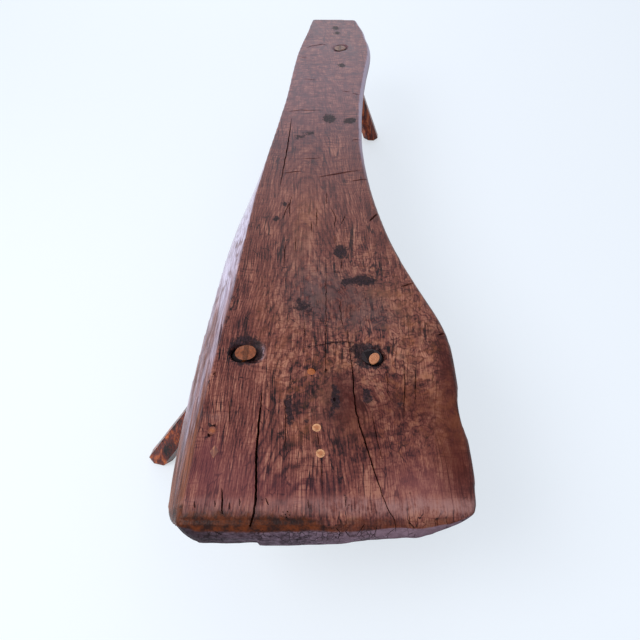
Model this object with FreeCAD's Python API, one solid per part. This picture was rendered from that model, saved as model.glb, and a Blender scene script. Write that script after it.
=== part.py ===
"""A three-legged slab bench: one thick tapering plank on splayed, shaved legs that are wedged through it.

Lengths are in millimetres. X runs across the bench, Y along it from the wide end, Z up from the floor.
"""
import FreeCAD, Part
import math
import os

V = FreeCAD.Vector

# Whole bench
seat_length = 1836.0
seat_height = 410.0
half_width = 265.0
fit_clearance = 0.15
overrun = 30.0

# Slab: depth under the seat in the middle and at the thin right side, wane on the left, round on the right
wide_depth = 84.0
narrow_depth = 70.0
wide_side_depth = 28.0
narrow_side_depth = 56.0
wane_run = 60.0
side_run = 10.0
stock = 6.0
stock_run = 10.0

# Plan of the slab: along the length, left top edge and right side over half the width, run of the left wane
plan_shares = [
    (0.000, -0.850, 0.976, 0.68),
    (0.045, -0.838, 1.004, 0.74),
    (0.090, -0.823, 1.013, 0.80),
    (0.190, -0.772, 1.016, 0.86),
    (0.240, -0.732, 0.957, 0.90),
    (0.300, -0.694, 0.800, 0.88),
    (0.370, -0.662, 0.640, 0.80),
    (0.450, -0.616, 0.530, 0.54),
    (0.550, -0.540, 0.461, 0.22),
    (0.650, -0.442, 0.470, 0.14),
    (0.740, -0.364, 0.528, 0.14),
    (0.840, -0.286, 0.633, 0.14),
    (0.920, -0.190, 0.620, 0.14),
    (1.000, -0.115, 0.560, 0.14),
]

# Cross-section: how far in from the side over the width, and how far down over the depth; the underside
# rises to the thin right side and bulges a little on the way
belly_share, bulge_share = 0.50, 0.11
under_left_shares = (0.10, 0.98)
turn_left_shares = (0.03, 0.82)
flank_left_shares = (0.00, 0.56)
wane_shares = (0.55, 0.25)
shoulder_right_shares = (0.30, 0.18)
flank_right_shares = (0.00, 0.50)
under_right_shares = (0.05, 1.00)

# Worn ends: how far the rim, the lower edge and the two corners in plan are rounded back
wide_rim_back, wide_rim_drop = 46.0, 30.0
wide_under_back, wide_under_rise = 20.0, 30.0
wide_left_back, wide_left_run = 75.0, 95.0
wide_right_back, wide_right_run = 40.0, 215.0
narrow_rim_back, narrow_rim_drop = 18.0, 16.0
narrow_under_back, narrow_under_rise = 14.0, 20.0
narrow_left_back, narrow_left_run = 30.0, 26.0
narrow_right_back, narrow_right_run = 44.0, 46.0
corner_spare = 5.0

# Shallow hollow in the right side
hollow_place_share = 0.122
hollow_reach = 10.0
hollow_length = 110.0

# Drying splits, as points along the length and over half the width
left_split_shares = [(0.140, -0.412), (0.092, -0.423), (0.059, -0.415), (0.029, -0.405)]
left_split_opening, left_split_depth = 6.5, 44.0
right_split_shares = [(0.223, 0.209), (0.176, 0.222), (0.129, 0.245), (0.103, 0.276),
                      (0.081, 0.313), (0.053, 0.363), (0.022, 0.415)]
right_split_opening, right_split_depth = 4.5, 34.0
middle_split_shares = [(0.334, 0.052), (0.238, 0.047), (0.168, 0.037)]
middle_split_opening, middle_split_depth = 2.2, 16.0
narrow_split_shares = [(0.646, -0.315), (0.578, -0.337), (0.517, -0.367), (0.480, -0.391)]
narrow_split_opening, narrow_split_depth = 4.5, 22.0
split_foot_share = 0.12

# Legs: round tenon, reamed shoulder, eight-sided shaft that swells to the foot
tenon_diameter = 36.0
shoulder_length = 46.0
shaft_top_width = 48.0
shaft_foot_width = 55.0
foot_edge = 5.0
facet_shares = [1.00, 0.95, 1.03, 0.97, 1.01, 0.94, 1.02, 0.98]

# Each leg: tenon down to its shoulder, worn mouth of its mortise, sinking of its end below the seat
wide_left_tenon, wide_left_mouth, wide_left_sunk = 82.0, 48.0, 0.5
wide_right_tenon, wide_right_mouth, wide_right_sunk = 54.0, 54.0, 3.0
narrow_tenon, narrow_mouth, narrow_sunk = 64.0, 44.0, 0.5
mouth_depth = 9.0

# Each leg: place of its tenon along the length and over half the width, then splay to the side, splay to
# the end and turn of the facets in degrees
leg_place_shares = {
    "wide_left": (0.193, -0.557),
    "wide_right": (0.189, 0.380),
    "narrow_end": (0.880, 0.257),
}
leg_angles = {
    "wide_left": (-31.6, -4.5, 12.0),
    "wide_right": (26.0, -4.5, 34.0),
    "narrow_end": (19.0, 13.4, 20.0),
}
tenons = {"wide_left": wide_left_tenon, "wide_right": wide_right_tenon, "narrow_end": narrow_tenon}
mouths = {"wide_left": wide_left_mouth, "wide_right": wide_right_mouth, "narrow_end": narrow_mouth}
sunk = {"wide_left": wide_left_sunk, "wide_right": wide_right_sunk, "narrow_end": narrow_sunk}

# Wedges across the tenon ends, and the thick key that fills the worn right one, turned by some degrees
wedge_thickness, wedge_tip, wedge_depth = 7.0, 2.0, 48.0
key_thickness, key_tip, key_depth, key_width = 18.0, 12.0, 40.0, 26.0
key_turn = 18.0

# Round pegs, a snapped peg with its break at some degrees, and a peg in an old slotted hole
peg_diameter = 16.0
peg_depth = 26.0
peg_sunk = 0.6
peg_place_shares = {"peg_middle_far": (0.1033, -0.023), "peg_middle_near": (0.0763, 0.003)}
broken_place_shares = (0.1688, -0.063)
broken_sunk = 2.0
broken_slope = 12.0
slot_place_shares = (0.1002, -0.731)
slot_length = 30.0
slot_depth = 14.0

# Diamond patch let into the top
patch_place_shares = (0.0781, -0.699)
patch_width, patch_length, patch_depth = 15.0, 25.0, 9.0
patch_sunk = 0.4


def seat_point(shares):
    """A place on the top, from its shares of the length and of half the width."""
    along, across = shares
    return V(across * half_width, along * seat_length, seat_height)


def section(along, left_share, right_share, wane_share):
    """Closed cross-section of the blank: belly, left flank, wane, spare stock above the top, right flank."""
    left, right, wane = left_share * half_width, right_share * half_width, wane_share * wane_run
    depth = wide_depth + (narrow_depth - wide_depth) * along
    side = wide_side_depth + (narrow_side_depth - wide_side_depth) * along
    outer = left - wane
    width = right - outer

    def at(across, down):
        return V(across, along * seat_length, seat_height - down)

    def from_left(shares):
        return at(outer + shares[0] * width, shares[1] * depth)

    under_right = at(right - under_right_shares[0] * width, under_right_shares[1] * side)
    flank_right = at(right - flank_right_shares[0] * width, flank_right_shares[1] * side)
    shoulder = at(right - shoulder_right_shares[0] * side_run, shoulder_right_shares[1] * side)
    slope = at(left - wane_shares[0] * wane, wane_shares[1] * depth)
    edge_left, edge_right = at(left, 0), at(right - side_run, 0)
    stock_left, stock_right = at(left + stock_run, -stock), at(right - side_run - stock_run, -stock)
    under_left, flank_left = from_left(under_left_shares), from_left(flank_left_shares)
    belly = at(outer + belly_share * width, (depth + side) / 2 + bulge_share * depth)
    edges = [
        Part.Arc(under_right, belly, under_left),
        Part.Arc(under_left, from_left(turn_left_shares), flank_left),
        Part.Arc(flank_left, slope, edge_left),
        Part.LineSegment(edge_left, stock_left),
        Part.LineSegment(stock_left, stock_right),
        Part.LineSegment(stock_right, edge_right),
        Part.Arc(edge_right, shoulder, flank_right),
        Part.LineSegment(flank_right, under_right),
    ]
    return Part.Wire([edge.toShape() for edge in edges])


def flanks(along):
    """Left and right side of the slab, at its widest, at a share of the length."""
    first, second = next(pair for pair in zip(plan_shares, plan_shares[1:]) if along <= pair[1][0])
    part_way = (along - first[0]) / (second[0] - first[0])
    left, right, wane = [a + (b - a) * part_way for a, b in zip(first[1:], second[1:])]
    return left * half_width - wane * wane_run, right * half_width


def rounding(corner, one_way, other_way, through):
    """Waste outside a rounded corner; the arc runs from one way along the body to the other."""
    start, finish = corner + one_way, corner + other_way
    outward = V(one_way).normalize() * -overrun, V(other_way).normalize() * -overrun
    middle = corner + (one_way + other_way) * (1 - math.sqrt(0.5))
    around = [finish, finish + outward[0], corner + outward[0] + outward[1], start + outward[1], start]
    wire = Part.Wire([Part.Arc(start, middle, finish).toShape()] + Part.makePolygon(around).Edges)
    return Part.Face(wire).extrude(through)


def end_waste(place, inward, depth, rim, under, left, right):
    """What has worn off one end of the slab: its rim, its lower edge and its two corners in plan."""
    reach = half_width + wane_run + overrun
    top = V(-reach, place, seat_height)
    across, down = V(2 * reach, 0, 0), V(0, 0, -depth)
    waste = [
        rounding(top, V(0, inward * rim[0], 0), V(0, 0, -rim[1]), across),
        rounding(top + down, V(0, inward * under[0], 0), V(0, 0, under[1]), across),
    ]
    for side, (back, run) in enumerate((left, right)):
        sign = 1 - 2 * side
        flank = flanks((place + inward * back) / seat_length)[side] - sign * corner_spare
        foot, rise = V(flank, place, seat_height - depth - overrun), V(0, 0, depth + 2 * overrun)
        waste.append(rounding(foot, V(0, inward * back, 0), V(sign * run, 0, 0), rise))
    return waste


def hollow():
    """Round cutter for the hollow in the right side."""
    radius = (hollow_length ** 2 / 4 + hollow_reach ** 2) / (2 * hollow_reach)
    across = flanks(hollow_place_share)[1] - hollow_reach + radius
    foot = V(across, hollow_place_share * seat_length, seat_height - wide_depth - overrun)
    return Part.makeCylinder(radius, wide_depth + 2 * overrun, foot)


def blank():
    """The slab with its flat top and worn ends: a loft along the length, planed and rounded off."""
    shape = Part.makeLoft([section(*row) for row in plan_shares], True, False, False, 3)
    box = shape.BoundBox
    above = Part.makeBox(box.XLength + 2 * overrun, box.YLength + 2 * overrun, stock + overrun,
                         V(box.XMin - overrun, box.YMin - overrun, seat_height))
    waste = [above, hollow()]
    waste += end_waste(0, 1, wide_depth, (wide_rim_back, wide_rim_drop), (wide_under_back, wide_under_rise),
                       (wide_left_back, wide_left_run), (wide_right_back, wide_right_run))
    waste += end_waste(seat_length, -1, narrow_depth, (narrow_rim_back, narrow_rim_drop),
                       (narrow_under_back, narrow_under_rise), (narrow_left_back, narrow_left_run),
                       (narrow_right_back, narrow_right_run))
    return shape.cut(waste)


def split(shares, opening, depth, runs_out):
    """A drying split: pointed where it starts, V-shaped in depth, closing again or running out."""
    places = [seat_point(point) for point in shares]
    if runs_out:
        run = (places[-1] - places[-2]).normalize()
        places.append(places[-1] + run * ((places[-1].y + overrun) / abs(run.y)))
    turn = math.pi / 2 if runs_out else math.pi
    flare_share = 1 + overrun / depth * (1 - split_foot_share)
    wires = []
    for height, taper in ((overrun, flare_share), (-depth, split_foot_share)):
        left, right = [], []
        for index, place in enumerate(places):
            half = opening / 2 * taper * math.sin(turn * index / (len(places) - 1))
            left.append(place + V(-half, 0, height))
            right.append(place + V(half, 0, height))
        back = left[::-1] if runs_out else left[-2::-1]
        wires.append(Part.makePolygon(right + back))
    return Part.makeLoft(wires, True, True)


def turned(profile):
    """A solid of revolution about Z from (radius, height) corners."""
    corners = [V(radius, 0, height) for radius, height in profile]
    return Part.Face(Part.makePolygon(corners + corners[:1])).revolve(V(), V(0, 0, 1), 360)


def leg_line(leg):
    """The run of a leg's own line from the floor up to the seat."""
    side, end, _ = [math.radians(angle) for angle in leg_angles[leg]]
    return V(-seat_height * math.tan(side), -seat_height * math.tan(end), seat_height)


def leg_reach(leg):
    """Length along a leg's own line from the seat to well past the floor."""
    return leg_line(leg).Length + shaft_foot_width


def placed(shape, leg):
    """A shape made along Z from zero, moved so that zero is on the seat and Z runs along the leg."""
    lean = FreeCAD.Rotation(V(0, 0, 1), leg_line(leg))
    shape.Placement = FreeCAD.Placement(seat_point(leg_place_shares[leg]), lean) * shape.Placement
    return shape


def corner_radius(width):
    """Radius to the arrises of a shaft with a width across its flats."""
    return width / 2 / math.cos(math.pi / len(facet_shares))


def envelope(leg, gap):
    """Round tenon, reamed shoulder and widening blank of a leg along Z, with its seat end at zero."""
    tenon = tenon_diameter / 2 + gap
    shoulder = corner_radius(shaft_top_width) * max(facet_shares) + gap
    return turned([(0, overrun), (tenon, overrun), (tenon, -tenons[leg]),
                   (shoulder, -tenons[leg] - shoulder_length), (shaft_foot_width, -leg_reach(leg)),
                   (0, -leg_reach(leg))])


def flat_sided(lower, upper):
    """A solid with flat sides between two like outlines, each a list of corners."""
    outlines = [lower, upper]
    for index in range(len(lower)):
        outlines.append([lower[index - 1], lower[index], upper[index], upper[index - 1]])
    faces = [Part.Face(Part.makePolygon(corners + corners[:1])) for corners in outlines]
    return Part.Solid(Part.Shell(faces))


def octagon(width, height, turn):
    """Corners of the shaved shaft, each arris a little in or out as a drawknife leaves it."""
    points = []
    for index, share in enumerate(facet_shares):
        angle = math.radians(turn) + 2 * math.pi * index / len(facet_shares)
        radius = corner_radius(width) * share
        points.append(V(radius * math.cos(angle), radius * math.sin(angle), height))
    return points


def above_floor(shape, height):
    """The part of a shape between the floor and a height."""
    box = shape.BoundBox
    return shape.common(Part.makeBox(box.XLength + 2 * overrun, box.YLength + 2 * overrun, height,
                                     V(box.XMin - overrun, box.YMin - overrun, 0)))


def make_leg(leg):
    """A shaved leg, cut off level with the floor and near the seat, kerfed for its wedge."""
    turn = leg_angles[leg][2]
    foot, top = octagon(shaft_foot_width, -leg_reach(leg), turn), octagon(shaft_top_width, overrun, turn)
    shaft = flat_sided(foot, top)
    shape = above_floor(placed(shaft.common(envelope(leg, 0)), leg), seat_height - sunk[leg])
    sole = min(shape.Faces, key=lambda face: face.CenterOfMass.z)
    shape = shape.makeChamfer(foot_edge, sole.OuterWire.Edges)
    return shape.cut(placed(wedge_blank(leg, fit_clearance), leg))


def mortise(leg):
    """The reamed hole for a leg, with its mouth worn wider at the seat."""
    mouth, bore = mouths[leg] / 2, tenon_diameter / 2 + fit_clearance
    brim = mouth + (mouth - bore) / mouth_depth * overrun
    flare = turned([(0, overrun), (brim, overrun), (bore, -mouth_depth), (0, -mouth_depth)])
    return placed(envelope(leg, fit_clearance).fuse(flare), leg)


def wedge_blank(leg, gap):
    """A wedge along the leg's own line, wider than the tenon; the worn right tenon has a thick key."""
    thick, tip, depth, turn = wedge_thickness, wedge_tip, wedge_depth, 0
    width = tenon_diameter + 2 * overrun
    if leg == "wide_right":
        thick, tip, depth, width, turn = key_thickness, key_tip, key_depth, key_width, key_turn
    outlines = []
    for height, size in ((-depth, tip), (overrun, thick + (thick - tip) * overrun / depth)):
        half, reach = size / 2 + gap, width / 2 + gap
        around = ((-half, -reach), (half, -reach), (half, reach), (-half, reach))
        outlines.append([V(x, y, height) for x, y in around])
    return flat_sided(*outlines).rotated(V(), V(0, 0, 1), turn)


def make_wedge(leg):
    """A wedge or key, trimmed flush with the seat and with the sides of the tenon."""
    depth = max(wedge_depth, key_depth)
    tenon = Part.makeCylinder(tenon_diameter / 2, depth + 2 * overrun, V(0, 0, -depth - overrun))
    return above_floor(placed(wedge_blank(leg, 0).common(tenon), leg), seat_height)


def bored(shares, depth, diameter):
    """A round bar that stands in the top at a depth and passes the seat."""
    return Part.makeCylinder(diameter / 2, depth + overrun, seat_point(shares) - V(0, 0, depth))


def make_peg(shares, depth):
    """A round peg that stands on the floor of its hole, sunk a little below the seat."""
    return Part.makeCylinder(peg_diameter / 2, depth - peg_sunk, seat_point(shares) - V(0, 0, depth))


def make_broken_peg():
    """A peg snapped off at a slope below the seat."""
    peg = bored(broken_place_shares, peg_depth, peg_diameter)
    size = 2 * overrun + peg_diameter
    waste = Part.makeBox(size, size, size, V(-size / 2, -size / 2, 0))
    waste.Placement = FreeCAD.Placement(seat_point(broken_place_shares) - V(0, 0, broken_sunk),
                                        FreeCAD.Rotation(V(0, 1, 0), broken_slope))
    return peg.cut(waste)


def slot():
    """An old slotted hole: two bores run together along the grain."""
    centre = seat_point(slot_place_shares) - V(0, 0, slot_depth)
    radius, half = peg_diameter / 2 + fit_clearance, (slot_length - peg_diameter) / 2
    height = slot_depth + overrun
    ends = [Part.makeCylinder(radius, height, centre + V(0, step, 0)) for step in (half, -half)]
    web = Part.makeBox(2 * radius, 2 * half, height, centre - V(radius, half, 0))
    return web.fuse(ends)


def patch(gap, height):
    """The diamond patch, or with a gap its recess, from its floor up to a height over the seat."""
    floor = seat_point(patch_place_shares) - V(0, 0, patch_depth)
    half, reach = patch_width / 2 + gap, patch_length / 2 + gap
    corners = [floor + V(x, y, 0) for x, y in ((half, 0), (0, reach), (-half, 0), (0, -reach))]
    return Part.Face(Part.makePolygon(corners + corners[:1])).extrude(V(0, 0, patch_depth + height))


def make_slab():
    """The blank with its mortises, peg holes, patch recess and drying splits cut."""
    bore = peg_diameter + 2 * fit_clearance
    cutters = [mortise(leg) for leg in leg_place_shares]
    cutters += [bored(shares, peg_depth, bore) for shares in peg_place_shares.values()]
    cutters += [bored(broken_place_shares, peg_depth, bore), slot(), patch(fit_clearance, overrun)]
    cutters += [
        split(left_split_shares, left_split_opening, left_split_depth, True),
        split(right_split_shares, right_split_opening, right_split_depth, True),
        split(middle_split_shares, middle_split_opening, middle_split_depth, False),
        split(narrow_split_shares, narrow_split_opening, narrow_split_depth, False),
    ]
    shape = blank()
    for cutter in cutters:
        shape = shape.cut(cutter)
    return shape


pieces = {"slab_seat": make_slab()}
for leg in leg_place_shares:
    pieces["leg_" + leg] = make_leg(leg)
    pieces["wedge_" + leg] = make_wedge(leg)
for name, shares in peg_place_shares.items():
    pieces[name] = make_peg(shares, peg_depth)
pieces["peg_broken"] = make_broken_peg()
pieces["peg_left_far"] = make_peg(slot_place_shares, slot_depth)
pieces["patch_left_near"] = patch(0, -patch_sunk)

# The origin is on the floor, under the middle of the bench's box
box = Part.makeCompound(list(pieces.values())).optimalBoundingBox(False, False)
origin = V((box.XMin + box.XMax) / 2, (box.YMin + box.YMax) / 2, 0)
os.makedirs("parts", exist_ok=True)
for name, shape in pieces.items():
    shape.translate(-origin)
    shape.exportStep(os.path.join("parts", name + ".step"))
    print(name, shape.isValid(), len(shape.Solids), len(shape.Faces), round(shape.Volume / 1000), "cm3")
print("origin", round(origin.x, 2), round(origin.y, 2), "box", round(box.XLength, 1), round(box.YLength, 1),
      round(box.ZLength, 1))
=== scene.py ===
import math

import bmesh
import bpy
import numpy as np
from mathutils import Matrix, Vector, noise
from mathutils.bvhtree import BVHTree
from mathutils.kdtree import KDTree


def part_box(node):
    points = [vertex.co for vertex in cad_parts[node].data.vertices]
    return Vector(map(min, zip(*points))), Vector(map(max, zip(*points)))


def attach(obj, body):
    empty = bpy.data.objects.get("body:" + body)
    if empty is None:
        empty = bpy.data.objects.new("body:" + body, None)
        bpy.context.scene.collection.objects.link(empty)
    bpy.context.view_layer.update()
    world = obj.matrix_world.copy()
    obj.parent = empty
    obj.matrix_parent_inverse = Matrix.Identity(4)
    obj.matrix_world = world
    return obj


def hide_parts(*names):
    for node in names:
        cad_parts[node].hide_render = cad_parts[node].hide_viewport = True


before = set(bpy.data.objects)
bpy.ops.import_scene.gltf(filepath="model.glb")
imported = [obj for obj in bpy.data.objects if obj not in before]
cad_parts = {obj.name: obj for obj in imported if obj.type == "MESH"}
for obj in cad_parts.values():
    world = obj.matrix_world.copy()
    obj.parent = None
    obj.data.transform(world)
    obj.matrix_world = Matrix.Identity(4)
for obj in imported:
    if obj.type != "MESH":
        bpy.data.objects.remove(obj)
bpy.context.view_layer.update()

# The viewpoint: the bench is seen from above its wide end, so that the seat runs away from the eye.
# Marks in the seat are placed by the pixel at which this view shows them, so the view comes first.
eye = Vector((0.0507, -1.1925, 1.310))
look_down = math.radians(51.7)
frame_pixels = 640
lens_pixels = 552
sensor_width = 36.0

camera = bpy.data.objects.new("viewpoint", bpy.data.cameras.new("viewpoint"))
camera.data.sensor_width = sensor_width
camera.data.lens = sensor_width * lens_pixels / frame_pixels
camera.location = eye
camera.rotation_euler = (math.pi / 2 - look_down, 0, 0)
bpy.context.scene.collection.objects.link(camera)
bpy.context.scene.camera = camera


def sight(across, down):
    """The direction in which the eye sees a pixel."""
    right = (across - frame_pixels / 2) / lens_pixels
    below = (down - frame_pixels / 2) / lens_pixels
    level, plumb = math.cos(look_down), math.sin(look_down)
    return Vector((right, level - below * plumb, -plumb - below * level)).normalized()


# The seat: one thick slab sawn through a forked trunk, flat on top and left waney on one side.
# It was planed by hand and has worn, dried and split, and it carries the holes for legs and pegs.
weld = 1e-5
seat_low, seat_high = (Vector(corner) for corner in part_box("slab_seat"))
seat_height = seat_high.z
near_end, far_end = seat_low.y, seat_high.y
skin_grid = 0.0044
gap_reach, hole_floor, mouth_reach = 0.056, 0.0085, 0.031
level_face, upturned_face = 0.8, 0.05
DIRT_AND_SHADE = 1


def merged(node):
    """A copy of a solid's triangles with the corners that meet made one."""
    mesh = bmesh.new()
    mesh.from_mesh(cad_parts[node].data)
    bmesh.ops.remove_doubles(mesh, verts=mesh.verts, dist=weld)
    return mesh


def middle_of(node):
    """The middle of a solid's box."""
    low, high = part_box(node)
    return (Vector(low) + Vector(high)) / 2


def placed(name, shape):
    """A new object that has a shape for its mesh."""
    mesh = bpy.data.meshes.new(name)
    shape.to_mesh(mesh)
    shape.free()
    made = bpy.data.objects.new(name, mesh)
    bpy.context.scene.collection.objects.link(made)
    return made


def settle(piece):
    """Makes what a piece's modifiers give its own mesh."""
    done = bpy.data.meshes.new_from_object(piece.evaluated_get(bpy.context.evaluated_depsgraph_get()))
    piece.modifiers.clear()
    piece.data = done
    return done


slab = merged("slab_seat")
tree = BVHTree.FromBMesh(slab)
wedge_names = ("wedge_wide_left", "wedge_wide_right", "wedge_narrow_end")
mouths = [middle_of(name).xy for name in wedge_names]


def in_hole(face):
    """Whether a face lines a split, a bore or a mortise."""
    middle = face.calc_center_median()
    below = seat_height - middle.z
    if face.normal.z >= level_face:
        return below > hole_floor
    off_mouth = min((middle.xy - mouth).length for mouth in mouths)
    if below > weld and face.normal.z > upturned_face and off_mouth < mouth_reach:
        return True
    return tree.ray_cast(middle + face.normal * weld * 10, face.normal, gap_reach)[0] is not None


# The holes are closed over, so that the outside can be worn in one skin and cut again afterwards.
bmesh.ops.delete(slab, geom=[face for face in slab.faces if in_hole(face)], context="FACES")
bmesh.ops.delete(slab, geom=[edge for edge in slab.edges if not edge.link_faces], context="EDGES")
bmesh.ops.holes_fill(slab, edges=[edge for edge in slab.edges if edge.is_boundary], sides=0)
bmesh.ops.triangulate(slab, faces=slab.faces)
bmesh.ops.recalc_face_normals(slab, faces=slab.faces)
slab_piece = placed("slab_seat_worn", slab)
skin = slab_piece.modifiers.new("skin", "REMESH")
skin.mode = "VOXEL"
skin.voxel_size = skin_grid
slab_mesh = settle(slab_piece)
slab = bmesh.new()
slab.from_mesh(slab_mesh)
slab.normal_update()


def rub(verts, passes, keep_levels=False):
    """Rounds a part of the slab, in plan alone where its levels are kept."""
    for _ in range(passes):
        bmesh.ops.smooth_vert(slab, verts=verts, factor=0.5, use_axis_x=True, use_axis_y=True,
                              use_axis_z=not keep_levels)


# Use has rubbed the arrises, most at the near brow, its left corner and the lobe.
arris_turn, arris_passes = math.radians(18), 2
arris = {vert for edge in slab.edges if edge.is_manifold and edge.calc_face_angle(0) > arris_turn
         for vert in edge.verts}
arris |= {edge.other_vert(vert) for vert in arris for edge in vert.link_edges}
rub(list(arris), arris_passes)
slab.normal_update()

roll_run, roll_drop, roll_depth, roll_passes = 0.056, 0.011, 0.04, 6
rub([vert for vert in slab.verts if vert.co.y < near_end + roll_run and vert.co.z > seat_height - roll_depth],
    roll_passes)
corner_run, corner_side, corner_depth, corner_passes = 0.06, -0.16, 0.012, 22
rub([vert for vert in slab.verts if vert.co.y < near_end + corner_run and vert.co.x < corner_side
     and vert.co.z < seat_height - corner_depth], corner_passes)
lobe_end, lobe_side, lobe_depth, lobe_passes = -0.3, 0.2, 0.03, 8
rub([vert for vert in slab.verts if vert.co.y < lobe_end and vert.co.x > lobe_side
     and vert.co.z > seat_height - lobe_depth], lobe_passes)

# The narrow end: the rim reaches out, the corners turn in and the waist is filled.
tip_length, tip_onset = 0.45, 0.2
tip_run, tip_reach = 0.10, 0.012
tip_middle, tip_half = 0.10, 0.09
waist_place, waist_run, waist_fill = 0.836, 0.045, 0.010
tip_corner, tip_spread = 0.012, 0.0033
for place in (vert.co for vert in slab.verts):
    if place.y > far_end - tip_length:
        sideways = (place.x - tip_middle) / tip_half
        end = max(0.0, 1 - (far_end - place.y) / tip_run)
        if sideways > 0:
            place.x += sideways * waist_fill * math.exp(-((place.y - waist_place) / waist_run) ** 2)
        else:
            place.x += sideways * tip_spread * min(1.0, (place.y - far_end + tip_length) / tip_onset)
        place.x -= sideways * tip_corner * end ** 4
        place.y = min(far_end, place.y + tip_reach * end ** 2)
turned_place, turned_side, turned_passes = 0.745, 0.135, 26
rub([vert for vert in slab.verts if vert.co.y > turned_place and vert.co.x > turned_side],
    turned_passes, keep_levels=True)
slab.normal_update()

# Plane, hewing and wear all take the outside in, each in its own pattern.
top_facing, under_facing = 0.9, -0.35
top_hollow, hollow_scale = 0.0011, (7, 2.6, 0)
roll_wander, wander_scale = 0.012, (11, 0, 0)
hewn_depth, hewn_scale, hewn_width = 0.0032, (15, 8, 6), 1.3
side_wear, side_scale = 0.0026, (17, 6.5, 22)
rim_run, end_wear, end_scale = 0.12, 0.0024, (34, 34, 34)
swell_place, swell_reach, swell_trim, swell_run, swell_facing = 0.175, 0.075, 0.016, 0.06, 0.3
step_place, step_rise, step_run, step_facing = -0.054, 0.004, 0.05, 0.2


def stretched(place, scale):
    """A place with its own scale on each axis."""
    return Vector(a * b for a, b in zip(place, scale))


def rolling(place, scale):
    """Smooth noise from 0 to 1 at a place, with its own scale on each axis."""
    return 0.5 + 0.5 * noise.noise(stretched(place, scale))


def wear(place, normal):
    """How far hand tools and use have taken the outside in at a place."""
    inset = place.y - near_end
    if normal.z > top_facing:
        fallen = max(0.0, 1 - inset / (roll_run - roll_wander * rolling(place, wander_scale)))
        depth = top_hollow * rolling(place, hollow_scale) + roll_drop * fallen ** 2
    elif normal.z < under_facing:
        gap = noise.voronoi(stretched(place, hewn_scale))[0][0]
        depth = hewn_depth * (1 - min(1.0, gap * hewn_width) ** 2)
    else:
        depth = side_wear * rolling(place, side_scale)
    if normal.z < swell_facing and place.y < near_end + swell_run:
        swell = math.exp(-((place.x - swell_place) / swell_reach) ** 2)
        depth += swell_trim * swell * (swell_facing - normal.z) / (1 + swell_facing)
    if place.x < step_place and normal.z < step_facing and place.y < near_end + step_run:
        depth += step_rise * (1 - max(0.0, normal.z))
    near = max(0.0, 1 - inset / rim_run)
    return depth + end_wear * near * (1 - normal.z ** 2) * rolling(place, end_scale)


moves = [(vert, vert.normal * -wear(vert.co, vert.normal)) for vert in slab.verts]
for vert, move in moves:
    vert.co += move
    vert.co.z = min(vert.co.z, seat_height)
tree = BVHTree.FromBMesh(slab)
slab.to_mesh(slab_mesh)


def seen(across, down):
    """The point of the slab that the view shows at a pixel."""
    return tree.ray_cast(eye, sight(across, down))[0]


# Drying cracks, knot holes and worm holes in the slab, which are too fine for the solid.
# Each is cut as a narrow V or a small bore, and its walls take a near-black finish: grime that has filled it
# since, and painted shade in the hollow.
station_gap, end_step = 0.007, 0.25
crooked, crook_scale, crook_shift = 0.0016, 90, Vector((3, 5, 7))
cut_lift = 0.004
crack_widening, crack_least = 1.25, 0.0019
crack_end, crack_taper = 0.25, 0.6
uneven_least, uneven_range, uneven_scale = 0.65, 0.7, (60, 60, 0)

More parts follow.
